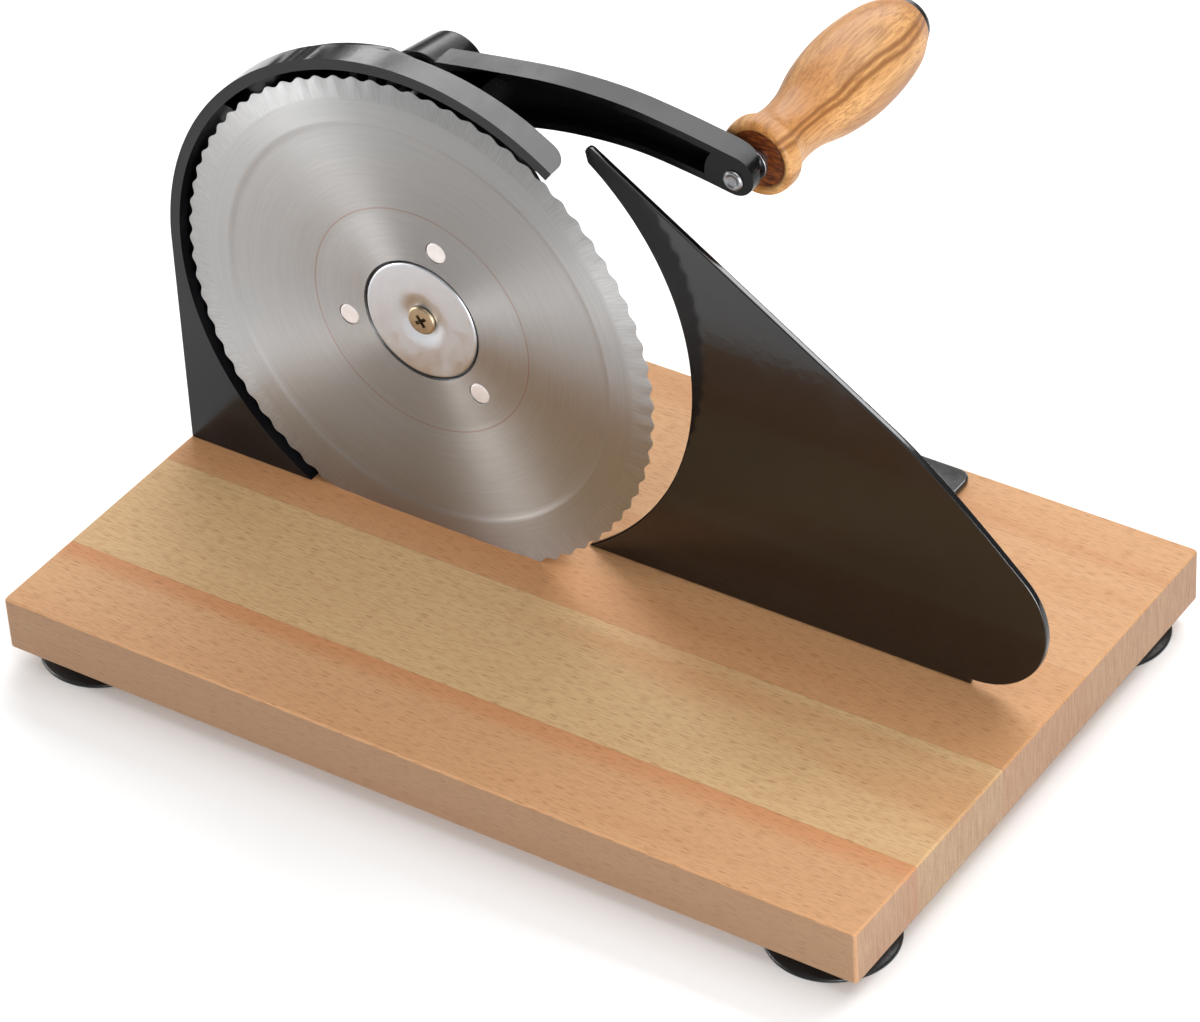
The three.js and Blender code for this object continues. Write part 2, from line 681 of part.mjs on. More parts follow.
add("base_board", baseBoard(), beech);
footPlaces().forEach((place, i) => {
  add(`suction_foot_${i + 1}`, suctionFoot(place), rubber);
  add(`foot_screw_${i + 1}`, footScrew(place), zinc);
});
add("front_frame", frontFrame(), enamel);
add("back_wall", backWall(), enamel);
flangeScrews().forEach((place, i) => add(`wall_screw_${i + 1}`, flangeScrew(place), zinc));
framePlaces().forEach((place, i) => add(`frame_screw_${i + 1}`, frameScrew(place), zinc));
add("gear_cover", gearCover(), enamel);
add("axle_flange", axleFlange(), steel);
add("crank_bearing", crankBearing(), steel);
wheelPlaces().forEach((place, i) => add(`axle_flange_screw_${i + 1}`, flangeFixing(place), zinc));
bearingPlaces().forEach((place, i) => add(`bearing_screw_${i + 1}`, flangeFixing(place), zinc));
add("blade", bladeDisc(), stainless);
add("blade_gear", bladeGear(), sinteredSteel);
rivetPlaces().forEach((place, i) => add(`blade_rivet_${i + 1}`, bladeRivet(place), zinc));
add("gear_bush", gearBush(), bronze);
add("thrust_washer", thrustWasher(), steel);
add("blade_axle", bladeAxle(), steel);
add("retaining_disc", retainingDisc(), stainless);
add("blade_screw", bladeScrew(), zinc);
add("drive_pinion", drivePinion(), sinteredSteel);
add("crank_shaft", crankShaft(), steel);
add("crank_bush", crankBush(), bronze);
add("crank_arm", crankArm(), enamel);
add("crank_screw", crankScrew(), zinc);
add("handle_axle", handleAxle(), steel);
add("handle_washer", handleWasher(), steel);
add("handle_grip", handleGrip(), turnedWood);
add("handle_cap", handleCap(), plastic);
add("stop_plate", stopPlate(), enamel);
guides.forEach((place, i) => add(`guide_screw_${i + 1}`, guideScrew(place), zinc));
add("clamp_insert", clampInsert(), bronze);
add("clamp_stud", clampStud(), zinc);
add("clamp_washer", clampWasher(), zinc);
add("clamp_knob", clampKnob(), plastic);

// The part's own origin is under the middle of its bounding box, on the surface it stands on.
slicer.position.set(-board.length / 2, -grip.back / 2, board.thick + foot.high);
const group = new THREE.Group();
group.add(slicer);

export default group;
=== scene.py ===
import json
import math

import bmesh
import bpy
from mathutils import Matrix, Vector


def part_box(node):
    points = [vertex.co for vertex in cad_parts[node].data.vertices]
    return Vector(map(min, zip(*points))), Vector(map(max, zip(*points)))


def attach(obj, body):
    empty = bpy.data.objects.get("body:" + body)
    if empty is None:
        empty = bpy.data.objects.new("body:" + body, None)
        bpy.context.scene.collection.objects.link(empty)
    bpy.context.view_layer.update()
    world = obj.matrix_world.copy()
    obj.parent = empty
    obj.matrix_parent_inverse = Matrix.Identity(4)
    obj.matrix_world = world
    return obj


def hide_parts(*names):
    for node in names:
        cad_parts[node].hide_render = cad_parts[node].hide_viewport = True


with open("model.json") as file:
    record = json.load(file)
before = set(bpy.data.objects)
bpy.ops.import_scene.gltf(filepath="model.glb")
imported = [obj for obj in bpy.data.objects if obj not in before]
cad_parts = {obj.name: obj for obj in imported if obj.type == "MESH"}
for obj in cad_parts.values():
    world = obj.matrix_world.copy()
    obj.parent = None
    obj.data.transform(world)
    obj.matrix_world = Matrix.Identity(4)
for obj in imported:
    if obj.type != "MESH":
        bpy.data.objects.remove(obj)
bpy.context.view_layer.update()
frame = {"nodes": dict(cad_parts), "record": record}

# Shapes are worked in millimetres from the board's left front top corner: X runs along its long
# edge, Y back from the front edge, and Z up from the top face. PLACE takes them to the frame.
TAU = 2 * math.pi
board_low, board_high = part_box("base_board")
PLACE = Matrix.Translation((board_low.x, board_low.y, board_high.z)) @ Matrix.Scale(0.001, 4)
BODY_OF = {n: body for body, nodes in frame["record"]["behaviour"]["bodies"].items() for n in nodes}
SLOT_OF = {part["node"]: part["material_slot"] for part in frame["record"]["subparts"]}


def span(node):
    """A CAD node's lowest and highest corners in millimetres."""
    low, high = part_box(node)
    return PLACE.inverted() @ low, PLACE.inverted() @ high


def middle(node):
    low, high = span(node)
    return (low + high) / 2


BOARD = span("base_board")[1]
FOOT_LOW = span("suction_foot_1")[0].z
BLADE = middle("blade_axle")
CRANK = middle("crank_bush")
GRIP = middle("handle_axle")
CLAMP = middle("clamp_stud")

# ---------------------------------------------------------------- mesh tools


def polar(centre, radius, degrees):
    turn = math.radians(degrees)
    return Vector((centre[0] + radius * math.cos(turn), centre[1] + radius * math.sin(turn)))


def smooth_step(value, low, high):
    t = min(max((value - low) / (high - low), 0), 1)
    return t * t * (3 - 2 * t)


def arc(centre, radius, start, end, steps):
    """Points on an arc, its angles in degrees, both ends included."""
    return [polar(centre, radius, start + (end - start) * i / steps) for i in range(steps + 1)]


def curve(start, control, end, steps):
    """Points on a parabola after its start, up to its end."""
    a, b, c = Vector(start), Vector(control), Vector(end)
    turns = [i / steps for i in range(1, steps + 1)]
    return [(1 - t) ** 2 * a + 2 * t * (1 - t) * b + t * t * c for t in turns]


def spline(points, steps):
    """A Catmull-Rom curve through the points."""
    points = [Vector(p) for p in points]
    ends = [points[0]] + points + [points[-1]]
    made = [points[0]]
    for before, a, b, after in zip(ends, ends[1:], ends[2:], ends[3:]):
        out, into = (b - before) / 2, (after - a) / 2
        for i in range(1, steps + 1):
            t = i / steps
            made.append(
                (2 * t**3 - 3 * t**2 + 1) * a
                + (t**3 - 2 * t**2 + t) * out
                + (3 * t**2 - 2 * t**3) * b
                + (t**3 - t**2) * into
            )
    return made


def rounded(corners, closed=False, steps=4):
    """A line through (u, v, radius) corners, each one rounded; the radius may be left out."""
    points = [Vector(c[:2]) for c in corners]
    radii = [c[2] if len(c) > 2 else 0 for c in corners]
    made = []
    for i, (point, radius) in enumerate(zip(points, radii)):
        at_end = not closed and i in (0, len(points) - 1)
        if not radius or at_end:
            made.append(point)
            continue
        back, on = points[i - 1] - point, points[(i + 1) % len(points)] - point
        near = point + back.normalized() * min(radius, 0.48 * back.length)
        far = point + on.normalized() * min(radius, 0.48 * on.length)
        made += [near] + curve(near, point, far, steps)
    return made


def inset(loop, distance):
    """A counter-clockwise loop of points moved inwards."""
    moved = []
    for before, point, after in zip(loop[-1:] + loop[:-1], loop, loop[1:] + loop[:1]):
        a, b = (point - before).normalized(), (after - point).normalized()
        sideways = Vector((-a.y - b.y, a.x + b.x))
        moved.append(point + sideways * distance / max(1 + a.dot(b), 0.3))
    return moved


def counter_clockwise(loop):
    area = sum(a.x * b.y - a.y * b.x for a, b in zip(loop, loop[1:] + loop[:1]))
    return loop if area > 0 else loop[::-1]


def link(name, mesh):
    obj = bpy.data.objects.new(name, mesh)
    bpy.context.scene.collection.objects.link(obj)
    return obj


def skin(name, rings, loop=False):
    """A closed mesh over rings of points. A ring of one point is a tip, and loop joins last to first."""
    bm = bmesh.new()
    made = [[bm.verts.new(p) for p in ring] for ring in rings]
    pairs = list(zip(made, made[1:])) + ([(made[-1], made[0])] if loop else [])
    for a, b in pairs:
        count = max(len(a), len(b))
        for i in range(count):
            j = (i + 1) % count
            corners = (a[i % len(a)], a[j % len(a)], b[j % len(b)], b[i % len(b)])
            bm.faces.new(dict.fromkeys(corners))
    if not loop:
        for ring in (made[0], made[-1]):
            if len(ring) > 2:
                bm.faces.new(ring)
    bmesh.ops.recalc_face_normals(bm, faces=bm.faces)
    mesh = bpy.data.meshes.new(name)
    bm.to_mesh(mesh)
    bm.free()
    return link(name, mesh)


def along_y(point, level):
    return (point.x, level, point.y)


def along_z(point, level):
    return (point.x, point.y, level)


def along_x(point, level):
    return (level, point.x, point.y)


def slab(name, loop, low, high, place=along_y, edge=0.5, steps=3):
    """An outline pulled from low to high, with round edges."""
    loop = counter_clockwise(loop)
    quarter = [i * math.pi / 2 / steps for i in range(steps + 1)] if edge else [math.pi / 2]
    lower = [(edge * (1 - math.sin(a)), low + edge * (1 - math.cos(a))) for a in quarter]
    upper = [(shift, high - (level - low)) for shift, level in reversed(lower)]
    rings = [[place(p, level) for p in inset(loop, shift)] for shift, level in lower + upper]
    return skin(name, rings)


def turned(name, profile, centre, axis="Y", segments=96):
    """A (radius, level) profile turned about a line along axis. One that leaves the axis closes."""
    place = along_y if axis == "Y" else along_z
    about = (centre.x, centre.z) if axis == "Y" else (centre.x, centre.y)
    rings = []
    for radius, level in profile:
        if radius < 1e-6:
            rings.append([place(Vector(about), level)])
            continue
        turns = [360 * i / segments for i in range(segments)]
        rings.append([place(polar(about, radius, t), level) for t in turns])
    on_axis = len(rings[0]) == 1 or len(rings[-1]) == 1
    return skin(name, rings, loop=not on_axis)


def bake(obj):
    """Applies an object's modifiers."""
    graph = bpy.context.evaluated_depsgraph_get()
    mesh = bpy.data.meshes.new_from_object(obj.evaluated_get(graph))
    obj.modifiers.clear()
    obj.data = mesh
    return obj


def combine(obj, others, operation):
    """Joins the others to obj, cuts them from it, or keeps what they share. They are used up."""
    for other in others:
        change = obj.modifiers.new("combine", "BOOLEAN")
        change.operation = operation
        change.solver = "EXACT"
        change.object = other
    bake(obj)
    for other in others:
        bpy.data.objects.remove(other)
    return obj


def join(obj, *others):
    return combine(obj, others, "UNION")


def cut(obj, *others):
    return combine(obj, others, "DIFFERENCE")


def round_edges(obj, width, above=38, segments=2):
    """Rounds every edge sharper than an angle."""
    change = obj.modifiers.new("round", "BEVEL")
    change.width = width
    change.segments = segments
    change.limit_method = "ANGLE"
    change.angle_limit = math.radians(above)
    change.use_clamp_overlap = True
    change.miter_outer = "MITER_ARC"
    return bake(obj)


def rod(radius, low, high, centre, axis="Y", segments=48):
    profile = [(0, low), (radius, low), (radius, high), (0, high)]
    return turned("cutter", profile, centre, axis, segments)


def stand_in(obj, node, material, sharp=34):
    """Puts a finished mesh in the frame, shaded smooth, in place of its CAD node."""
    obj.data.transform(PLACE)
    obj.data.shade_smooth()
    obj.data.set_sharp_from_angle(angle=math.radians(sharp))
    shading = obj.modifiers.new("even shading", "WEIGHTED_NORMAL")
    shading.keep_sharp = True
    obj.data.materials.clear()
    obj.data.materials.append(material)
    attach(obj, BODY_OF[node])
    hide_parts(node)
    return obj


# ---------------------------------------------------------------- materials


def tint(code):
    """A colour from its sRGB hex code."""
    parts = [int(code[i : i + 2], 16) / 255 for i in (0, 2, 4)]
    return [p / 12.92 if p < 0.04045 else ((p + 0.055) / 1.055) ** 2.4 for p in parts] + [1]


class Finish:
    """A node material and short ways to add to it. An input may be a number or another socket."""

    def __init__(self, name, colour, roughness, **uniform):
        self.material = bpy.data.materials.new(name)
        self.material.use_nodes = True
        self.nodes = self.material.node_tree.nodes
        self.links = self.material.node_tree.links
        self.shader = self.nodes["Principled BSDF"]
        self.feed(self.shader, {"Base Color": colour, "Roughness": roughness})
        self.feed(self.shader, {key.replace("_", " "): value for key, value in uniform.items()})
        self.where = self.add("ShaderNodeTexCoord").outputs["Object"]

    def feed(self, node, values):
        for key, value in values.items():
            if isinstance(value, bpy.types.NodeSocket):
                self.links.new(value, node.inputs[key])
            else:
                node.inputs[key].default_value = value

    def add(self, kind, values=None, **settings):
        node = self.nodes.new(kind)
        for key, value in settings.items():
            setattr(node, key, value)
        self.feed(node, values or {})
        return node

    def math(self, operation, a, b=0.0):
        node = self.add("ShaderNodeMath", {0: a, 1: b}, operation=operation)
        return node.outputs[0]

    def vector(self, operation, a, b=(0, 0, 0)):
        return self.add("ShaderNodeVectorMath", {0: a, 1: b}, operation=operation).outputs[0]

    def scaled(self, x, y, z, shift=(0, 0, 0)):
        """Object coordinates, in cycles per metre along each axis."""
        return self.vector("MULTIPLY", self.vector("SUBTRACT", self.where, shift), (x, y, z))

    def noise(self, where, scale=1.0, detail=2.0, roughness=0.5, distortion=0.0):
        values = {"Vector": where, "Scale": scale, "Detail": detail, "Roughness": roughness}
        values["Distortion"] = distortion
        return self.add("ShaderNodeTexNoise", values).outputs[0]

    def level(self, value, low, high, to_low=0.0, to_high=1.0):
        """A value stretched from one range to another, and held inside it."""
        values = {"Value": value, "From Min": low, "From Max": high, "To Min": to_low, "To Max": to_high}
        return self.add("ShaderNodeMapRange", values, interpolation_type="SMOOTHSTEP").outputs[0]

    def blend(self, share, a, b, kind="MIX"):
        node = self.add("ShaderNodeMix", data_type="RGBA", blend_type=kind)
        self.feed(node, {0: share, 6: a, 7: b})
        return node.outputs[2]

    def split(self, vector):
        return self.add("ShaderNodeSeparateXYZ", {0: vector}).outputs

    def bump(self, height, distance, strength=1.0, under=None):
        values = {"Height": height, "Distance": distance, "Strength": strength}
        if under:
            values["Normal"] = under
        return self.add("ShaderNodeBump", values).outputs[0]

    def use(self, **values):
        self.feed(self.shader, {key.replace("_", " "): value for key, value in values.items()})
        return self.material


def ring_coordinates(finish, centre):
    """The radius, and the direction as a unit vector, about a line along Y."""
    offset = finish.scaled(1, 0, 1, centre)
    radius = finish.add("ShaderNodeVectorMath", {0: offset}, operation="LENGTH").outputs["Value"]
    return radius, finish.vector("NORMALIZE", offset)


def brushed_ring(finish, centre, fine, around):
    """Noise drawn out into circles about a line along Y."""
    radius, direction = ring_coordinates(finish, centre)
    across = finish.math("MULTIPLY", radius, fine)
    turn = finish.add("ShaderNodeVectorMath", {0: direction, "Scale": around}, operation="SCALE").outputs[0]
    line = finish.add("ShaderNodeCombineXYZ", {1: across}).outputs[0]
    return radius, finish.noise(finish.vector("ADD", turn, line), 1.0, 4.0, 0.7)


def board_wood():
    """Beech: edge-glued staves along X, each its own shade, with fine grain and short dark flecks."""
    finish = Finish("board_wood", tint("CFA06E"), 0.5, Specular_IOR_Level=0.22)
    _, y, _ = finish.split(finish.where)
    stave_wide, first = 0.0545, 0.0375
    place = finish.math("DIVIDE", finish.math("SUBTRACT", y, board_low.y + first), stave_wide)
    stave = finish.math("FLOOR", place)
    jump = finish.add("ShaderNodeCombineXYZ", {0: finish.math("MULTIPLY", stave, 7.3), 2: stave}).outputs[0]
    where = finish.vector("ADD", finish.where, jump)

    def stretched(sx, sy, sz):
        return finish.vector("MULTIPLY", where, (sx, sy, sz))

    # one colour for each stave, from the front edge to the back
    shades = ("C3956C", "C6A478", "BE8E63", "C2956B", "C2956B")
    share = finish.math("MULTIPLY", finish.math("ADD", stave, 1.5), 0.2)
    ramp = finish.add("ShaderNodeValToRGB", {"Fac": share})
    ramp.color_ramp.interpolation = "CONSTANT"
    for i, shade in enumerate(shades[:-1]):
        stop = ramp.color_ramp.elements[0] if i == 0 else ramp.color_ramp.elements.new(i / len(shades))
        stop.color = tint(shade)
    ramp.color_ramp.elements[-1].position = 1 - 1 / len(shades)
    ramp.color_ramp.elements[-1].color = tint(shades[-1])
    colour = ramp.outputs[0]
    bands = finish.noise(stretched(1.6, 26, 26), 1.0, 3.0, 0.55, 0.5)
    colour = finish.blend(finish.level(bands, 0.52, 0.74, 0.0, 0.75), colour, tint("B57D51"))
    colour = finish.blend(finish.level(bands, 0.44, 0.26, 0.0, 0.4), colour, tint("CDA87C"))
    # an orange streak along the rear edge of the first stave
    wander = finish.noise(stretched(7, 90, 7), 1.0, 2.0)
    edge = finish.math("ADD", place, finish.math("MULTIPLY", wander, 0.22))
    streak = finish.math("MULTIPLY", finish.level(edge, -0.08, 0.08), finish.level(place, 0.004, -0.004))
    colour = finish.blend(finish.math("MULTIPLY", streak, 0.6), colour, tint("BE7A4C"))
    grain = finish.noise(stretched(22, 1000, 1000), 1.0, 3.0, 0.6)
    colour = finish.blend(finish.level(grain, 0.35, 0.75, 0.0, 0.3), colour, tint("B5875C"))
    # pores: short dark dashes along the grain
    dashes = finish.noise(stretched(190, 3000, 3000), 1.0, 1.0, 0.5)
    flecks = finish.level(dashes, 0.54, 0.66)
    colour = finish.blend(finish.math("MULTIPLY", flecks, 0.5), colour, tint("8A5B36"))
    # the two end faces show end grain, and every glue joint a thin line
    normal = finish.split(finish.add("ShaderNodeNewGeometry").outputs["True Normal"])
    end = finish.level(finish.math("ABSOLUTE", normal[0]), 0.75, 0.95)
    rings = finish.noise(stretched(30, 1300, 90), 1.0, 3.0, 0.6, 0.6)
    fine_lines = finish.blend(finish.level(rings, 0.35, 0.7, 0.0, 0.5), tint("FFFFFF"), tint("C9B8A8"))
    end_colour = finish.blend(0.6, colour, tint("8E7D70"))
    end_colour = finish.blend(1.0, end_colour, fine_lines, "MULTIPLY")
    colour = finish.blend(end, colour, end_colour)
    # painted shade: the front and back faces, long grain like the top, are drawn darker and greyer than it
    side = finish.level(finish.math("ABSOLUTE", normal[1]), 0.75, 0.95)
    colour = finish.blend(side, colour, finish.blend(0.62, colour, tint("6E5C4E")))
    to_joint = finish.math("ABSOLUTE", finish.math("SUBTRACT", finish.math("FRACT", place), 0.5))
    joint = finish.level(to_joint, 0.4955, 0.4995)
    colour = finish.blend(finish.math("MULTIPLY", joint, 0.35), colour, tint("8A5A30"))
    height = finish.math("SUBTRACT", finish.math("MULTIPLY", grain, 0.5), flecks)
    rough = finish.level(grain, 0.2, 0.8, 0.5, 0.65)
    return finish.use(Base_Color=colour, Roughness=rough, Normal=finish.bump(height, 0.00006, 0.4))


def grip_wood():
    """Turned beech under a thin varnish: long lines of grain, darker streaks, a stained collar face."""
    look = {"Specular_IOR_Level": 0.3, "Coat_Weight": 0.1, "Coat_Roughness": 0.2}
    finish = Finish("grip_wood", tint("B9834C"), 0.48, **look)
    _, y, _ = finish.split(finish.where)
    radius, direction = ring_coordinates(finish, PLACE @ GRIP)
    tone = finish.noise(finish.scaled(60, 5, 60), 1.0, 2.0, 0.5, 0.2)
    colour = finish.blend(finish.level(tone, 0.36, 0.64), tint("CB9B64"), tint("AF7840"))
    streak = finish.noise(finish.scaled(42, 4, 42, (0.3, 0.1, 0.2)), 1.0, 2.0, 0.5, 0.3)
    to_streak = finish.math("ABSOLUTE", finish.math("SUBTRACT", streak, 0.56))
    colour = finish.blend(finish.level(to_streak, 0.045, 0.005, 0.0, 0.35), colour, tint("704020"))
    # a pair of dark lines that run along the belly, a little below its top
    across, _, up = finish.split(direction)
    wander = finish.noise(finish.scaled(9, 22, 9), 1.0, 2.0, 0.5)
    off = finish.math("SUBTRACT", finish.math("MULTIPLY", up, 0.79), finish.math("MULTIPLY", across, 0.62))
    off = finish.math("ADD", off, finish.math("MULTIPLY", finish.math("SUBTRACT", wander, 0.5), 0.7))
    near = finish.math("ABSOLUTE", finish.math("SUBTRACT", finish.math("ABSOLUTE", off), 0.1))
    colour = finish.blend(finish.level(near, 0.11, 0.01, 0.0, 0.75), colour, tint("6B3A17"))
    lines = finish.noise(finish.scaled(1100, 22, 1100), 1.0, 3.0, 0.6)
    colour = finish.blend(finish.level(lines, 0.42, 0.66, 0.0, 0.5), colour, tint("875529"))
    flecks = finish.noise(finish.scaled(2000, 160, 2000), 1.0, 1.0, 0.4)
    colour = finish.blend(finish.level(flecks, 0.56, 0.68, 0.0, 0.4), colour, tint("764723"))
    # the face against the crank is stained dark
    front = (PLACE @ span("handle_grip")[0]).y
    inside = finish.level(radius, 0.0107, 0.0101)
    stain = finish.math("MULTIPLY", inside, finish.level(y, front + 0.0025, front + 0.0035, 1.0, 0.0))
    mottle = finish.noise(finish.scaled(220, 220, 900), 1.0, 3.0, 0.6)
    stain_colour = finish.blend(finish.level(mottle, 0.35, 0.65), tint("3F1B0D"), tint("7C4019"))
    colour = finish.blend(stain, colour, stain_colour)
    bump = finish.bump(lines, 0.00004, 0.35)
    return finish.use(Base_Color=colour, Normal=bump)


def enamel(name, light, dark, specular, gloss, peel, texture):
    """Black enamel with orange peel; texture adds the fine grain of the cast faces."""
    finish = Finish(name, tint(dark), gloss, Specular_IOR_Level=specular)
    waves = finish.noise(finish.scaled(240, 240, 240), 1.0, 2.0, 0.5)
    sand = finish.noise(finish.scaled(1700, 1700, 1700), 1.0, 2.0, 0.6)
    worn = finish.noise(finish.scaled(45, 45, 45), 1.0, 4.0, 0.6)
    colour = finish.blend(finish.level(worn, 0.45, 0.75), tint(dark), tint(light))
    rough = finish.level(worn, 0.35, 0.75, gloss * 0.9, gloss * 1.2)
    normal = finish.bump(waves, 0.0006, peel)
    normal = finish.bump(sand, 0.0001, texture, normal)
    return finish.use(Base_Color=colour, Roughness=rough, Normal=normal)


def brushed_blade():
    """Stainless steel brushed in circles, with radial grinding marks on the bevelled rim."""
    look = {"Metallic": 1.0, "Anisotropic": 0.85, "Anisotropic_Rotation": 0.25}
    finish = Finish("blade_steel", tint("B4B3B2"), 0.42, **look)
    centre = PLACE @ BLADE
    radius, lines = brushed_ring(finish, centre, 14000, 4.0)
    _, broad = brushed_ring(finish, centre, 900, 1.3)
    _, direction = ring_coordinates(finish, centre)
    colour = finish.blend(finish.level(lines, 0.3, 0.7), tint("A6A6A6"), tint("B6B6B6"))
    colour = finish.blend(finish.level(broad, 0.35, 0.7, 0.0, 0.3), colour, tint("9E9E9E"))
    # a faint copper-brown line where the dished middle begins
    edge = finish.math("ABSOLUTE", finish.math("SUBTRACT", radius, 0.0437))
    colour = finish.blend(finish.level(edge, 0.0004, 0.0001, 0.0, 0.55), colour, tint("9C7A66"))
    # the ground bevel: marks drawn out along the radius
    spokes = finish.add("ShaderNodeVectorMath", {0: direction, "Scale": 700.0}, operation="SCALE").outputs[0]
    along = finish.add("ShaderNodeCombineXYZ", {1: finish.math("MULTIPLY", radius, 110)}).outputs[0]
    marks = finish.noise(finish.vector("ADD", spokes, along), 1.0, 3.0, 0.7)
    ground = finish.level(radius, 0.0868, 0.0874)
    ground_colour = finish.blend(finish.level(marks, 0.3, 0.7), tint("9E9E9E"), tint("BDBDBD"))
    colour = finish.blend(ground, colour, ground_colour)
    height = finish.add("ShaderNodeMix", {0: ground, 2: lines, 3: marks}).outputs[0]
    smooth = finish.level(lines, 0.3, 0.7, 0.38, 0.45)
    rough = finish.add("ShaderNodeMix", {0: ground, 2: smooth, 3: 0.46}).outputs[0]
    tangent = finish.add("ShaderNodeTangent", direction_type="RADIAL", axis="Y").outputs[0]
    normal = finish.bump(height, 0.00001, 0.2)
    return finish.use(Base_Color=colour, Roughness=rough, Normal=normal, Tangent=tangent)


def turned_metal(name, light, dark, roughness, centre, fine=3000.0, strength=0.3):
    """Metal with fine turning marks about a line along Y."""
    finish = Finish(name, tint(light), roughness, Metallic=1.0, Anisotropic=0.3)
    _, lines = brushed_ring(finish, centre, fine, 3.0)
    smudge = finish.noise(finish.scaled(120, 120, 120), 1.0, 3.0)
    colour = finish.blend(finish.level(lines, 0.3, 0.7), tint(dark), tint(light))
    rough = finish.level(smudge, 0.3, 0.7, roughness * 0.8, roughness * 1.3)
    return finish.use(Base_Color=colour, Roughness=rough, Normal=finish.bump(lines, 0.00002, strength))


def speckled(name, light, dark, roughness, metallic, scale=900.0, strength=0.3, depth=0.00005):
    """A finish with a fine grain and broad patches: plated, sintered, moulded or rubber."""
    finish = Finish(name, tint(light), roughness, Metallic=metallic)
    grain = finish.noise(finish.scaled(scale, scale, scale), 1.0, 3.0, 0.6)
    patch = finish.noise(finish.scaled(90, 90, 90), 1.0, 3.0, 0.6)
    colour = finish.blend(finish.level(patch, 0.3, 0.7), tint(light), tint(dark))
    rough = finish.level(grain, 0.3, 0.7, roughness * 0.8, roughness * 1.25)
    return finish.use(Base_Color=colour, Roughness=rough, Normal=finish.bump(grain, depth, strength))


FINISHES = {
    "board_wood": board_wood(),
    "grip_wood": grip_wood(),
    "black_enamel": enamel("black_enamel", "09090A", "050506", 0.2, 0.24, 0.03, 0.0),
    "cast_enamel": enamel("cast_enamel", "18181A", "101012", 0.32, 0.15, 0.05, 0.3),
    "plate_enamel": enamel("plate_enamel", "0B0B0C", "060607", 0.75, 0.12, 0.04, 0.05),
    "blade_steel": brushed_blade(),
    "disc_steel": turned_metal("disc_steel", "D2D4D8", "C4C6CA", 0.38, PLACE @ BLADE, 9000.0, 0.06),
    "rivet_steel": speckled("rivet_steel", "EDE8E6", "DDD6D3", 0.5, 0.7, 2500.0, 0.2),
    # zinc plating whose brown tint is a painted reflection of the warm brown things around the screw
    "zinc_with_painted_brown_reflection": speckled("zinc_with_painted_brown_reflection", "B8A488", "9A866C", 0.36, 1.0, 900.0, 0.2),
    "gear_steel": speckled("gear_steel", "6A6A6C", "4A4A4D", 0.5, 1.0),
    "plain_steel": speckled("plain_steel", "A3A3A6", "858589", 0.32, 1.0, 700.0, 0.15),
    "zinc_plate": speckled("zinc_plate", "CFCFD2", "B4B3B6", 0.22, 1.0, 600.0, 0.12),
    "bronze": speckled("bronze", "B08A55", "8C6A3C", 0.38, 1.0),
    "rubber": speckled("rubber", "050506", "0A0A0B", 0.4, 0.0, 1200.0, 0.25),
    "black_plastic": speckled("black_plastic", "070708", "0C0C0D", 0.3, 0.0, 1800.0, 0.2),
}

# ---------------------------------------------------------------- the board and its feet


def board():
    """The board, its faces split along the slot's sides. The slot's pocket lies under a face that stays."""
    low = -21
    loop = rounded([(0, 0, 2), (BOARD.x, 0, 2), (BOARD.x, BOARD.y, 2), (0, BOARD.y, 2)], closed=True)
    made = slab("board", loop, low, 0, along_z, 1.1, 4)
    front, back = 106.8, 113.2  # the slot that the blade dips into
    reach = math.sqrt(98**2 - BLADE.z**2) + 1.5
    bm = bmesh.new()
    bm.from_mesh(made.data)
    across, along = Vector((1, 0, 0)), Vector((0, 1, 0))
    for place, side in ((BLADE.x - reach, across), (BLADE.x + reach, across), (front, along), (back, along)):
        parts = bm.verts[:] + bm.edges[:] + bm.faces[:]
        bmesh.ops.bisect_plane(bm, geom=parts, plane_co=side * place, plane_no=side)
    slot_middle = Vector((BLADE.x, (front + back) / 2, 0))
    slot = min(bm.faces, key=lambda face: (face.calc_center_median() - slot_middle).length)
    pushed = bmesh.ops.extrude_face_region(bm, geom=[slot])["geom"]
    floor_corners = [part for part in pushed if isinstance(part, bmesh.types.BMVert)]
    bmesh.ops.translate(bm, vec=(0, 0, -14), verts=floor_corners)
    bmesh.ops.recalc_face_normals(bm, faces=bm.faces)
    bm.to_mesh(made.data)
    bm.free()
    stand_in(made, "base_board", FINISHES["board_wood"])


def suction_foot(node):
    top, low = -21.3, FOOT_LOW
    profile = [(2.4, top), (10.4, top, 1), (12.6, top - 1.6, 1.5), (19.5, low + 2.6, 4)]
    profile += [(22.6, low + 1.1, 0.8), (22.6, low, 0.4), (20.2, low, 0.4)]
    profile += [(12, low + 2.8, 2), (2.4, low + 3.2)]
    made = turned(node + "_cup", rounded(profile), middle(node), "Z", 112)
    stand_in(made, node, FINISHES["rubber"])


def screw(node, tip, seat, shank, head, high, slot, axis="Z", back=1):
    """A domed screw with a cross recess. Its head grows from seat, towards or away by back."""
    shape = [(0, tip), (shank, tip + back), (shank, seat), (head, seat)]
    shape.append((head, seat + 0.35 * high * back, 0.5 * high))
    shape += [(head * 0.72, seat + 0.95 * high * back, 0.6 * high), (0, seat + high * back)]
    made = turned(node + "_turned", rounded(shape), middle(node), axis, 40)
    centre = middle(node)
    deep, proud = seat + 0.35 * high * back, seat + (high + 1) * back
    wide = slot * 0.22
    for along, across in ((slot, wide), (wide, slot)):
        if axis == "Z":
            loop = [(-along, -across), (along, -across), (along, across), (-along, across)]
            loop = [Vector((centre.x + u, centre.y + v)) for u, v in loop]
            bar = slab("cutter", loop, min(deep, proud), max(deep, proud), along_z, 0)
        else:
            loop = [(-along, -across), (along, -across), (along, across), (-along, across)]
            loop = [Vector((centre.x + u, centre.z + v)) for u, v in loop]
            bar = slab("cutter", loop, min(deep, proud), max(deep, proud), along_y, 0)
        cut(made, bar)
    stand_in(made, node, FINISHES["zinc_plate"])


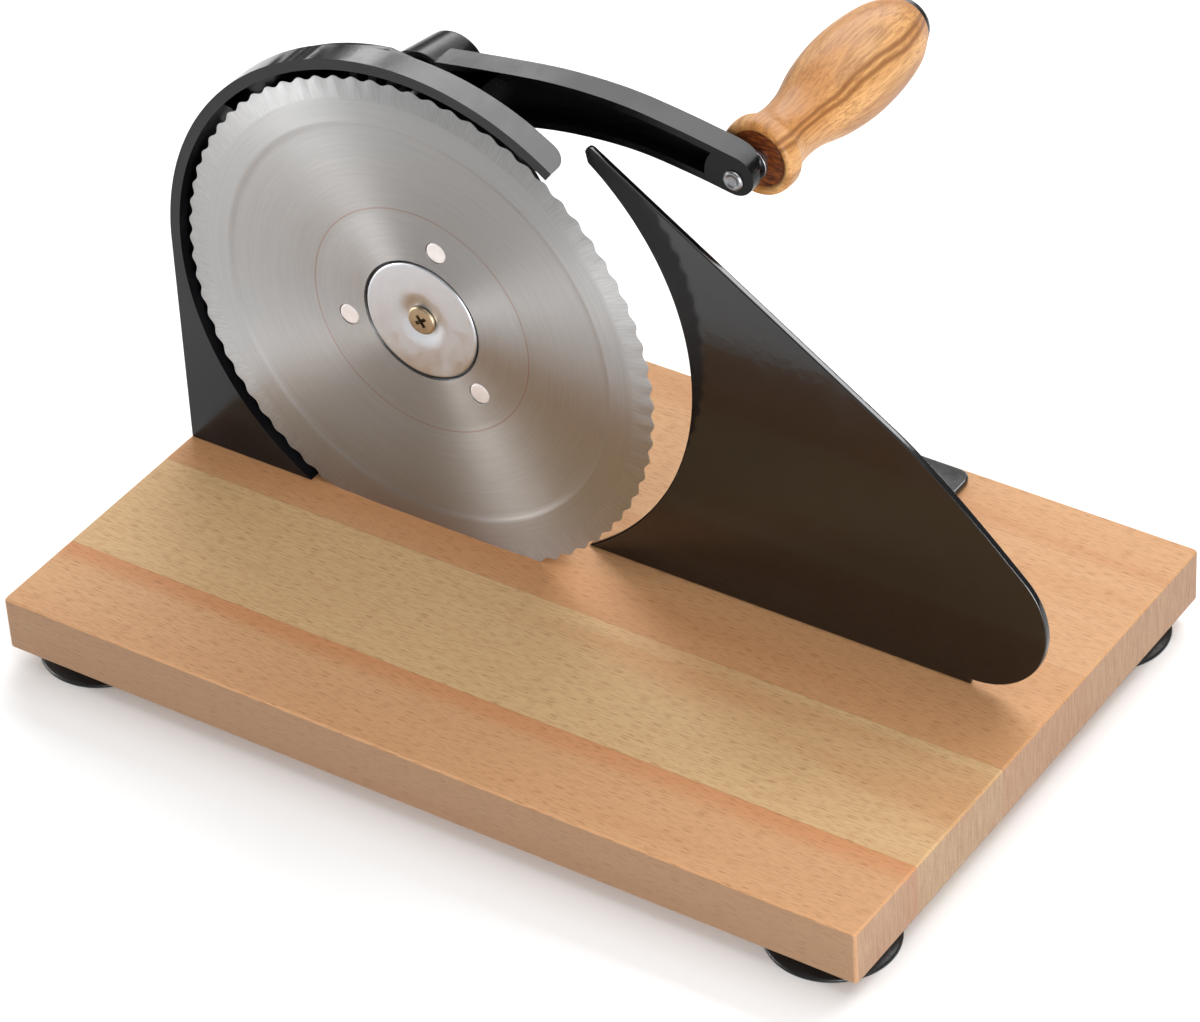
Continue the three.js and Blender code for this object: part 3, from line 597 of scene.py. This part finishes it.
# ---------------------------------------------------------------- the housing

FACE = span("front_frame")[0].y
FRAME_BACK = span("front_frame")[1].y
WALL_FRONT = span("back_wall")[0].y
WALL = WALL_FRONT + 3.2
RIM_BACK = FACE + 10
GUARD_IN, GUARD_OUT, GUARD_END = 98, 102, 53.2
BLADE_AT = (BLADE.x, BLADE.z)


def front_outline(outer):
    start = 180 + math.degrees(math.asin((BLADE.z - 0.3) / GUARD_IN))
    first = [Vector((1, 0.3))]
    return first + arc(BLADE_AT, GUARD_IN, start, GUARD_END, 96) + arc(BLADE_AT, outer, GUARD_END, 180, 56)


def shoulder_outline():
    """The step behind the rim, which thins out to nothing towards the guard's free end."""
    end, full, thick = 66, 92, GUARD_OUT - 1.6 - GUARD_IN
    start = 180 + math.degrees(math.asin((BLADE.z - 0.3) / GUARD_IN))
    loop = [Vector((1, 0.3))] + arc(BLADE_AT, GUARD_IN, start, end, 88)
    for i in range(57):
        turn = end + (180 - end) * i / 56
        loop.append(polar(BLADE_AT, GUARD_IN + 0.3 + (thick - 0.3) * smooth_step(turn, end, full), turn))
    return loop


def guard_corner(radius):
    """Cuts the guard's free end round where its side wall meets its rear edge."""
    end = polar(BLADE_AT, 0, 0)
    out = polar((0, 0), 1, GUARD_END)
    inward = Vector((-out.y, out.x))
    loop = [Vector((-2, RIM_BACK + 2)), Vector((-2, RIM_BACK - radius))]
    loop += arc((radius, RIM_BACK - radius), radius, 180, 90, 12) + [Vector((radius, RIM_BACK + 2))]

    def place(point, level):
        spot = end + out * level + inward * point.x
        return (spot.x, point.y, spot.y)

    return slab("cutter", loop, GUARD_IN - 6, GUARD_OUT + 6, place, 0)


def front_frame():
    rim = slab("guard_frame", front_outline(GUARD_OUT), FACE, RIM_BACK, along_y, 0)
    shoulder = slab("cutter", shoulder_outline(), RIM_BACK - 0.1, FRAME_BACK, along_y, 0)
    places = [middle(f"frame_screw_{i + 1}") for i in range(4)]
    lugs = [rod(4, 113, FRAME_BACK, place) for place in places[:3]]
    join(rim, shoulder, *lugs)
    cut(rim, guard_corner(6), *[rod(1.7, 114, 125, place, segments=24) for place in places])
    round_edges(rim, 0.75, 40, 3)
    stand_in(rim, "front_frame", FINISHES["cast_enamel"])


def wall_outline():
    """Up the left side with the guard, then down behind the blade and round the wheel to the board."""
    right, lobe, outer = 152, 63, GUARD_OUT - 2
    loop = [Vector((1, 0.3)), Vector((right, 0.3)), Vector((right, 12))]
    loop += curve(loop[-1], (right, 36), polar(BLADE_AT, lobe, -25), 10)
    loop += arc(BLADE_AT, lobe, -25, 30, 28)[1:]
    shoulder = [(30, lobe), (39, 65), (49, 75), (60, 83), (74, 88), (86, 96), (96, outer)]
    loop += spline([polar(BLADE_AT, radius, turn) for turn, radius in shoulder], 6)[1:]
    loop += arc(BLADE_AT, outer, 96, 180, 48)[1:]
    return loop


def back_wall():
    wall = slab("rear_wall", wall_outline(), WALL_FRONT, WALL, along_y, 0.8)
    sole = rounded([(4, WALL - 2), (150, WALL - 2), (150, 166, 6), (4, 166, 6)], closed=True, steps=8)
    pieces = [slab("cutter", sole, 0.3, 6.3, along_z, 0.8)]
    for x in (30, 77, 124):
        web = rounded([(WALL - 1, 4), (152, 4), (150, 8, 2), (WALL - 1, 40)], closed=True)
        pieces.append(slab("cutter", web, x - 2, x + 2, along_x, 0.6))
    join(wall, *pieces)
    cutters = [rod(7, 110, 150, CRANK), rod(8, 110, 128, BLADE)]
    cutters += [rod(2.6, -1, 10, middle(f"wall_screw_{i + 1}"), "Z", 32) for i in range(4)]
    small = [f"frame_screw_{i + 1}" for i in range(4)]
    small += [f"{kind}_screw_{i + 1}" for kind in ("axle_flange", "bearing") for i in range(3)]
    cutters += [rod(1.7, 110, 125, middle(node), segments=24) for node in small]
    cut(wall, *cutters)
    stand_in(wall, "back_wall", FINISHES["cast_enamel"])


def gear_cover():
    r, thick, front = 63, 2.6, span("gear_cover")[0].y
    profile = [(r - thick, front, 0.5), (r - 0.6, front, 0.5), (r, FRAME_BACK), (r - thick, FRAME_BACK)]
    ring = turned("gear_ring", rounded(profile, closed=True), BLADE, "Y", 144)
    cut(ring, rod(22.35, front - 1, FRAME_BACK + 1, CRANK))
    stand_in(ring, "gear_cover", FINISHES["black_enamel"])


def flange(node, centre, radius, hub, back, bore, screws):
    front = WALL + 0.3
    step = front + 3
    profile = [(bore, front), (radius, front, 0.3), (radius, step, 0.7)]
    profile += [(hub + 1, step, 0.8), (hub, step + 1, 0.5)]
    profile += [(hub, back, 0.9), (bore + 0.6, back), (bore, back - 0.6)]
    made = turned(node + "_turned", rounded(profile), centre)
    cut(made, *[rod(1.7, front - 1, step + 1, middle(name), segments=24) for name in screws])
    stand_in(made, node, FINISHES["plain_steel"], 40)


# ---------------------------------------------------------------- the blade and its drive

WAVES = 75
BLADE_R = 95
BLADE_FRONT = span("blade")[0].y
THICK = 1.4
DISH = 3.3
HOLE = 23.5


def dish_depth(radius):
    """How far back the disc's face sits: flat in the middle, a slope, and a soft shoulder at 77."""
    if radius <= 42:
        return DISH
    step = 0.6
    if radius <= 75:
        return DISH + (step - DISH) * (radius - 42) / (75 - 42)
    return step * (1 - smooth_step(radius, 75, 78.5))


def blade():
    """The disc as rings: its rim and ground bevel rise and fall once for each wave."""
    segments = WAVES * 12
    radii = [HOLE, 24, 28, 33, 38, 41, 42.5, 44, 47, 52, 57, 62, 67, 70, 72, 74, 75.5, 76.5, 77, 77.5]
    radii += [78, 78.5, 80, 82.5, 85, 86.6, 87.2, 88, 89.5, 91, 92.5, 93.6, 94.5, BLADE_R]
    wave_deep, flute_deep, rim_half = 1.25, 0.035, 0.08

    def ring(radius, level, share, flute):
        points = []
        for i in range(segments):
            phase = math.cos(TAU * i * WAVES / segments)
            scallop = (1 - phase) / 2
            r = radius - wave_deep * share * scallop
            spot = polar(BLADE_AT, r, 360 * i / segments)
            points.append((spot.x, level + flute * flute_deep * scallop, spot.y))
        return points

    rings = []
    for radius in radii:
        ground = max(radius - 87, 0) / (BLADE_R - 87)
        level = BLADE_FRONT + dish_depth(radius) + ground * (THICK / 2 - rim_half)
        rings.append(ring(radius, level, smooth_step(radius, 90, BLADE_R), ground * (1 - ground) * 4))
    for radius in reversed(radii):
        ground = max(radius - 87, 0) / (BLADE_R - 87)
        level = BLADE_FRONT + dish_depth(radius) + THICK - ground * (THICK / 2 - rim_half)
        rings.append(ring(radius, level, smooth_step(radius, 90, BLADE_R), 0))
    disc = skin("blade_disc", rings, loop=True)
    holes = [rod(4.1, 105, 125, middle(f"blade_rivet_{i + 1}")) for i in range(3)]
    cut(disc, *holes)
    stand_in(disc, "blade", FINISHES["blade_steel"], 45)


def blade_rivet(node):
    front, back = span(node)[0].y, span(node)[1].y
    profile = [(0, front), (3.4, front + 0.02, 0.4), (4, front + 0.3, 0.3), (4, back, 0.3), (0, back)]
    made = turned(node + "_pin", rounded(profile), middle(node), "Y", 48)
    stand_in(made, node, FINISHES["rivet_steel"])


def gear(node, teeth, centre, lean, bore, holes=()):
    """A spur gear with a little backlash: four corners to a tooth, flanks eased."""
    module = 2.5
    pitch = module * teeth / 2
    step = 360 / teeth
    thin = math.degrees(0.25 / pitch)
    root, tip = pitch - 1.2 * module, pitch + 0.95 * module
    corners = [(root, -0.32 * step + thin, 0.6), (tip, -0.13 * step + thin / 2, 0.5)]
    corners += [(tip, 0.13 * step - thin / 2, 0.5), (root, 0.32 * step - thin, 0.6)]
    loop = []
    for i in range(teeth):
        for radius, shift, soft in corners:
            spot = polar((centre.x, centre.z), radius, lean + i * step + shift)
            loop.append((spot.x, spot.y, soft))
    front, back = span(node)[0].y, span(node)[1].y
    wheel = slab(node + "_wheel", rounded(loop, closed=True, steps=2), front, back, along_y, 0.35, 2)
    rivet_holes = [rod(4.1, front - 2, back + 2, spot) for spot in holes]
    cut(wheel, rod(bore, front - 2, back + 2, centre), *rivet_holes)
    stand_in(wheel, node, FINISHES["gear_steel"])


def retaining_disc():
    front = BLADE_FRONT + DISH
    profile = [(2.8, front + 0.9), (6, front + 0.9, 0.8), (9.6, front, 2.6), (14, front - 0.04)]
    profile += [(21.8, front - 0.05, 0.4), (22.4, front + 0.3, 0.4), (22.4, front + 1.5, 0.2)]
    profile.append((2.8, front + 1.5))
    made = turned("axle_disc", rounded(profile, steps=8), BLADE, "Y", 128)
    stand_in(made, "retaining_disc", FINISHES["disc_steel"], 50)


def bush(node, profile, centre, finish):
    made = turned(node + "_turned", rounded(profile, closed=True), centre)
    stand_in(made, node, FINISHES[finish])


# ---------------------------------------------------------------- the crank

ARM_FRONT = span("crank_arm")[0].y
ARM_BACK = 145.5
HUB_BACK = span("crank_arm")[1].y
ARM_END = (216.6, 164.2)


def arm_outline(drop):
    """The arm's outline, with its long edges moved inwards by drop."""
    radius = 7.2 - drop
    top = [(CRANK.x + 6, CRANK.z + 13.5), (124, 175.2), (148, 178)]
    top += [(172, 178.2), (194, 175.6), (217.6, 171.4)]
    low = [(200, 159.7), (180, 161.9), (160, 161.2)]
    low += [(140, 158.2), (122, 152.8), (CRANK.x + 9, CRANK.z - 11.5)]
    upper = spline([(x, z - drop) for x, z in top], 10)
    tip = arc(ARM_END, radius, 82, -100, 20)
    lower = spline([tuple(tip[-1])] + [(x, z + drop) for x, z in low], 10)
    return upper + tip[1:] + lower[1:]


def arm_corner(wide, deep):
    """Cuts the arm's outer end round where it meets the back."""
    end = ARM_END[0] + 7.2
    centre = Vector((end - wide, ARM_BACK - deep))
    turns = [math.radians(90 - 90 * i / 12) for i in range(13)]
    loop = [centre + Vector((wide * math.cos(t), deep * math.sin(t))) for t in turns]
    loop += [Vector((end + 2, centre.y)), Vector((end + 2, ARM_BACK + 1)), Vector((centre.x, ARM_BACK + 1))]
    return slab("cutter", loop, 140, 190, along_z, 0)


def crank_arm():
    rib, recess = 2.7, 5.5
    bar = slab("arm", arm_outline(0), ARM_FRONT, ARM_BACK, along_y, 0)
    channel = slab("cutter", arm_outline(rib), ARM_FRONT - 1, ARM_FRONT + recess, along_y, 0)
    end = Vector((GRIP.x + 1.5, 0, GRIP.z))
    cut(channel, rod(15.5, 130, 160, CRANK, segments=96), rod(12.5, 130, 160, end, segments=72))
    cut(bar, channel)
    cone = [(0, ARM_FRONT), (14.6, ARM_FRONT, 0.8), (15, ARM_FRONT + 0.8)]
    cone += [(12.2, HUB_BACK, 1.6), (0, HUB_BACK)]
    join(bar, turned("cutter", rounded(cone, steps=5), CRANK))
    cutters = [rod(5.3, 130, 151.3, CRANK), rod(2.7, 130, 160, CRANK), rod(6.6, 153, 160, CRANK)]
    cutters.append(arm_corner(12, 6.4))
    cutters += [rod(3.3, 130, 150, GRIP)]
    cut(bar, *cutters)
    round_edges(bar, 0.7, 40, 3)
    stand_in(bar, "crank_arm", FINISHES["black_enamel"], 40)


def crank_screw():
    low, high = span("crank_screw")
    profile = [(0, low.y), (2.1, low.y + 1), (2.1, 153.3), (5.6, 153.3, 0.3), (5.6, high.y, 0.7), (0, high.y)]
    made = turned("crank_bolt", rounded(profile), CRANK, "Y", 60)
    cut(made, rod(2.3, 154.2, 157, CRANK, segments=6))
    stand_in(made, "crank_screw", FINISHES["zinc_plate"])


def handle_axle():
    low, high = span("handle_axle")
    head = ARM_FRONT
    profile = [(0, low.y + 0.5), (1.8, low.y + 0.45, 0.6), (2.6, low.y, 0.5)]
    profile += [(3.3, low.y + 0.1, 0.4), (3.7, head - 0.3)]
    profile += [(3, head - 0.3), (3, 145.8), (3.5, 145.8), (3.5, high.y, 0.4), (0, high.y)]
    stand_in(turned("handle_pin", rounded(profile), GRIP), "handle_axle", FINISHES["plain_steel"])


def handle_grip():
    """Collar, narrow neck, full belly and a tapered rear end."""
    low, high = span("handle_grip")
    front, bore = low.y, 3.6
    stations = [(13.2, 156.6), (11.5, 160.6), (10.6, 168), (11.4, 178), (14.6, 191)]
    stations += [(16.3, 205), (16, 219), (14.1, 232), (10.6, 241)]
    side = spline(stations, 7)
    collar = [(bore, front + 1.6), (10.2, front + 1.4, 0.6), (11, front + 0.3, 0.6), (12, front, 0.6)]
    collar += [(13.3, front + 0.6, 0.9), (13.8, front + 2.6, 1.5), (13.8, 155.6, 1.2), (13.2, 156.6)]
    profile = rounded(collar) + side[1:] + [Vector((10, high.y)), Vector((bore, high.y))]
    made = turned("handle", profile, GRIP, "Y", 112)
    stand_in(made, "handle_grip", FINISHES["grip_wood"], 50)


def handle_cap():
    low, high = span("handle_cap")
    profile = [(0, low.y), (3.4, low.y), (3.4, 242.1), (9.7, 242.1, 0.3)]
    profile += [(9.5, 244, 1.2), (8, high.y, 1.6), (0, high.y)]
    stand_in(turned("cap", rounded(profile, steps=6), GRIP), "handle_cap", FINISHES["black_plastic"])


# ---------------------------------------------------------------- the stop plate and its clamp


def plate_outline():
    bend, bend_r, gap = (309.7, 30.5), 28.2, 4.5
    tip, tip_r = (168.9, 164.5), 2
    loop = [Vector((309, 0.3)), Vector((309.3, bend[1] - bend_r))]
    loop += arc(bend, bend_r, -91, 45, 36)[1:]
    loop += curve(loop[-1], (297.5, 82.5), (281, 93.3), 14)
    loop += arc(tip, tip_r, 56, 200, 14)
    low = math.degrees(math.asin((0.3 - BLADE.z) / (BLADE_R + gap)))
    return loop + arc(BLADE_AT, BLADE_R + gap, 50.5, low, 72)


def long_slot(centre, ahead, behind, radius):
    """A cutter for a slot along Y, round at both ends."""
    loop = arc((centre.x, centre.y + behind), radius, 0, 180, 16)
    loop += arc((centre.x, centre.y - ahead), radius, 180, 360, 16)
    return slab("cutter", loop, -1, 6, along_z, 0)


def stop_plate():
    low = span("stop_plate")[0]
    front, thick = low.y, 2.5
    back = span("stop_plate")[1].y
    made = slab("slice_plate", plate_outline(), front, front + thick, along_y, 0.55)
    edge = front + thick - 0.9
    sole = rounded([(198, edge), (254, edge), (254, back, 6), (198, back, 6)], closed=True, steps=8)
    join(made, slab("cutter", sole, 0.3, 0.3 + thick, along_z, 0.7))
    ahead, behind = 5.4, 19.4
    slots = [long_slot(middle(f"guide_screw_{i + 1}"), ahead, behind, 2.7) for i in range(2)]
    cut(made, long_slot(CLAMP, 6, 20, 3.3), *slots)
    stand_in(made, "stop_plate", FINISHES["plate_enamel"])


def clamp_knob():
    """Six shallow lobes on a round neck."""
    low, high = span("clamp_knob")
    lobes, steps = 6, 144
    turns = [360 * i / steps for i in range(steps)]
    centre = (CLAMP.x, CLAMP.y)
    loop = [polar(centre, 12.4 + 1.6 * math.cos(math.radians(lobes * t)), t) for t in turns]
    made = slab("knob", loop, low.z + 4, high.z, along_z, 1.6, 5)
    join(made, rod(8, low.z, low.z + 5, CLAMP, "Z", 64))
    cut(made, rod(3.2, low.z - 1, 15.3, CLAMP, "Z"))
    stand_in(made, "clamp_knob", FINISHES["black_plastic"])


def build():
    board()
    for i in range(4):
        suction_foot(f"suction_foot_{i + 1}")
    front_frame()
    back_wall()
    gear_cover()
    wheel_screws = [f"axle_flange_screw_{i + 1}" for i in range(3)]
    bearing_screws = [f"bearing_screw_{i + 1}" for i in range(3)]
    flange("axle_flange", BLADE, 22, 14, 131, 8, wheel_screws)
    flange("crank_bearing", CRANK, 20, 10.5, 133, 7, bearing_screws)
    for name in [f"frame_screw_{i + 1}" for i in range(4)]:
        screw(name, span(name)[0].y, WALL + 0.3, 1.4, 2.7, 1.7, 1.5, "Y")
    for name in wheel_screws + bearing_screws:
        screw(name, span(name)[0].y, WALL + 3.6, 1.4, 2.7, 1.7, 1.5, "Y")
    for i in range(4):
        screw(f"wall_screw_{i + 1}", -13, 6.6, 2, 4.6, 3, 2.6)
    blade()
    for i in range(3):
        blade_rivet(f"blade_rivet_{i + 1}")
    rivets = [middle(f"blade_rivet_{i + 1}") for i in range(3)]
    gear("blade_gear", 45, BLADE, 98, 12.3, rivets)
    gear("drive_pinion", 15, CRANK, 98 + 180 + 12, 5.3)
    retaining_disc()
    centre_screw()
    crank_parts()
    stop_plate()
    for i in range(2):
        screw(f"guide_screw_{i + 1}", -12, 3.1, 2.4, 4.8, 2.4, 2.8)
    clamp_knob()


def centre_screw():
    """The flat cross-head screw in the middle of the blade."""
    seat = BLADE_FRONT + DISH + 0.6
    face = seat - 1
    profile = [(0, face), (4.9, face, 0.3), (5.4, face + 0.4, 0.3), (5.4, seat)]
    profile += [(2.4, seat), (2.4, 121), (0, 122.5)]
    made = turned("hub_screw", rounded(profile), BLADE, "Y", 64)
    for degrees in (35, 125):
        out = polar((0, 0), 1, degrees)
        side = Vector((-out.y, out.x))
        loop = [out * u + side * v for u, v in ((-2.5, -0.7), (2.5, -0.7), (2.5, 0.7), (-2.5, 0.7))]
        loop = [Vector(BLADE_AT) + p for p in loop]
        cut(made, slab("cutter", loop, face - 1, seat + 2, along_y, 0))
    # the centre screw's brown tint is a painted reflection, not the plating's own colour
    stand_in(made, "blade_screw", FINISHES["zinc_with_painted_brown_reflection"])


def crank_parts():
    crank_arm()
    crank_screw()
    low, high = span("crank_bush")
    inner, collar = 5.1, high.y - 1.5
    profile = [(inner, low.y), (6.7, low.y), (6.7, collar), (12.5, collar, 0.3)]
    profile += [(12.5, high.y, 0.5), (inner, high.y)]
    bush("crank_bush", profile, CRANK, "zinc_plate")
    handle_axle()
    low, high = span("handle_washer")
    profile = [(3.9, low.y), (5.8, low.y, 0.3), (5.8, high.y, 0.3), (3.9, high.y)]
    bush("handle_washer", profile, GRIP, "plain_steel")
    handle_grip()
    handle_cap()


def finish_plain_nodes():
    """The CAD nodes that stay, hidden or nearly so, take a finish of their own slot."""
    for node, obj in frame["nodes"].items():
        material = FINISHES[SLOT_OF[node]]
        if obj.material_slots:
            for slot in obj.material_slots:
                slot.material = material
        else:
            obj.data.materials.append(material)


# ---------------------------------------------------------------- floor, light and camera


def floor():
    finish = Finish("studio_floor", tint("F4F4F4"), 0.35, Specular_IOR_Level=0.3)
    haze = finish.noise(finish.scaled(3, 3, 3), 1.0, 2.0)
    finish.use(Base_Color=finish.blend(haze, tint("F2F2F2"), tint("F7F7F7")))
    side = 6.0
    mesh = bpy.data.meshes.new("studio_floor")
    corners = [(-side, -side, 0), (side, -side, 0), (side, side, 0), (-side, side, 0)]
    mesh.from_pydata(corners, [], [(0, 1, 2, 3)])
    mesh.materials.append(finish.material)
    link("studio_floor", mesh)


def softbox(name, place, aim, wide, high, power, colour="FFFFFF"):
    light = bpy.data.lights.new(name, "AREA")
    light.shape = "RECTANGLE"
    light.size, light.size_y = wide, high
    light.energy = power
    light.color = tint(colour)[:3]
    obj = bpy.data.objects.new(name, light)
    bpy.context.scene.collection.objects.link(obj)
    obj.location = place
    obj.rotation_euler = (Vector(aim) - Vector(place)).to_track_quat("-Z", "Y").to_euler()
    obj.visible_camera = False


def studio():
    world = bpy.data.worlds.new("studio")
    world.use_nodes = True
    backdrop = world.node_tree.nodes["Background"]
    backdrop.inputs["Color"].default_value = (1, 1, 1, 1)
    backdrop.inputs["Strength"].default_value = 0.22
    bpy.context.scene.world = world
    aim = (0, 0, 0.08)
    softbox("back_softbox", (-0.05, 1.34, 1.57), aim, 2.5, 0.5, 30)
    softbox("back_left_softbox", (-1.65, 1.45, 1.12), aim, 0.7, 0.4, 6)
    softbox("low_back_softbox", (-0.6, 1.7, 1.0), aim, 1.3, 0.36, 11)
    softbox("top_softbox", (0.45, 0.1, 1.6), aim, 1.6, 1.6, 16)
    softbox("left_softbox", (-1.5, -0.65, 0.3), aim, 0.7, 0.9, 17)
    softbox("right_softbox", (1.21, -0.97, 0.3), aim, 0.7, 0.9, 27)
    scene = bpy.context.scene
    scene.view_settings.view_transform = "Standard"


def camera():
    """The photograph's view: from the right front, above, with a slight roll."""
    data = bpy.data.cameras.new("camera")
    data.sensor_width = 36
    data.lens = 155.63
    data.clip_end = 20
    obj = bpy.data.objects.new("camera", data)
    bpy.context.scene.collection.objects.link(obj)
    obj.location = (0.8104, -1.1384, 1.1187)
    obj.rotation_euler = [math.radians(a) for a in (52.4946, 2.9258, 33.3809)]
    bpy.context.scene.camera = obj


camera()
build()
finish_plain_nodes()
floor()
studio()
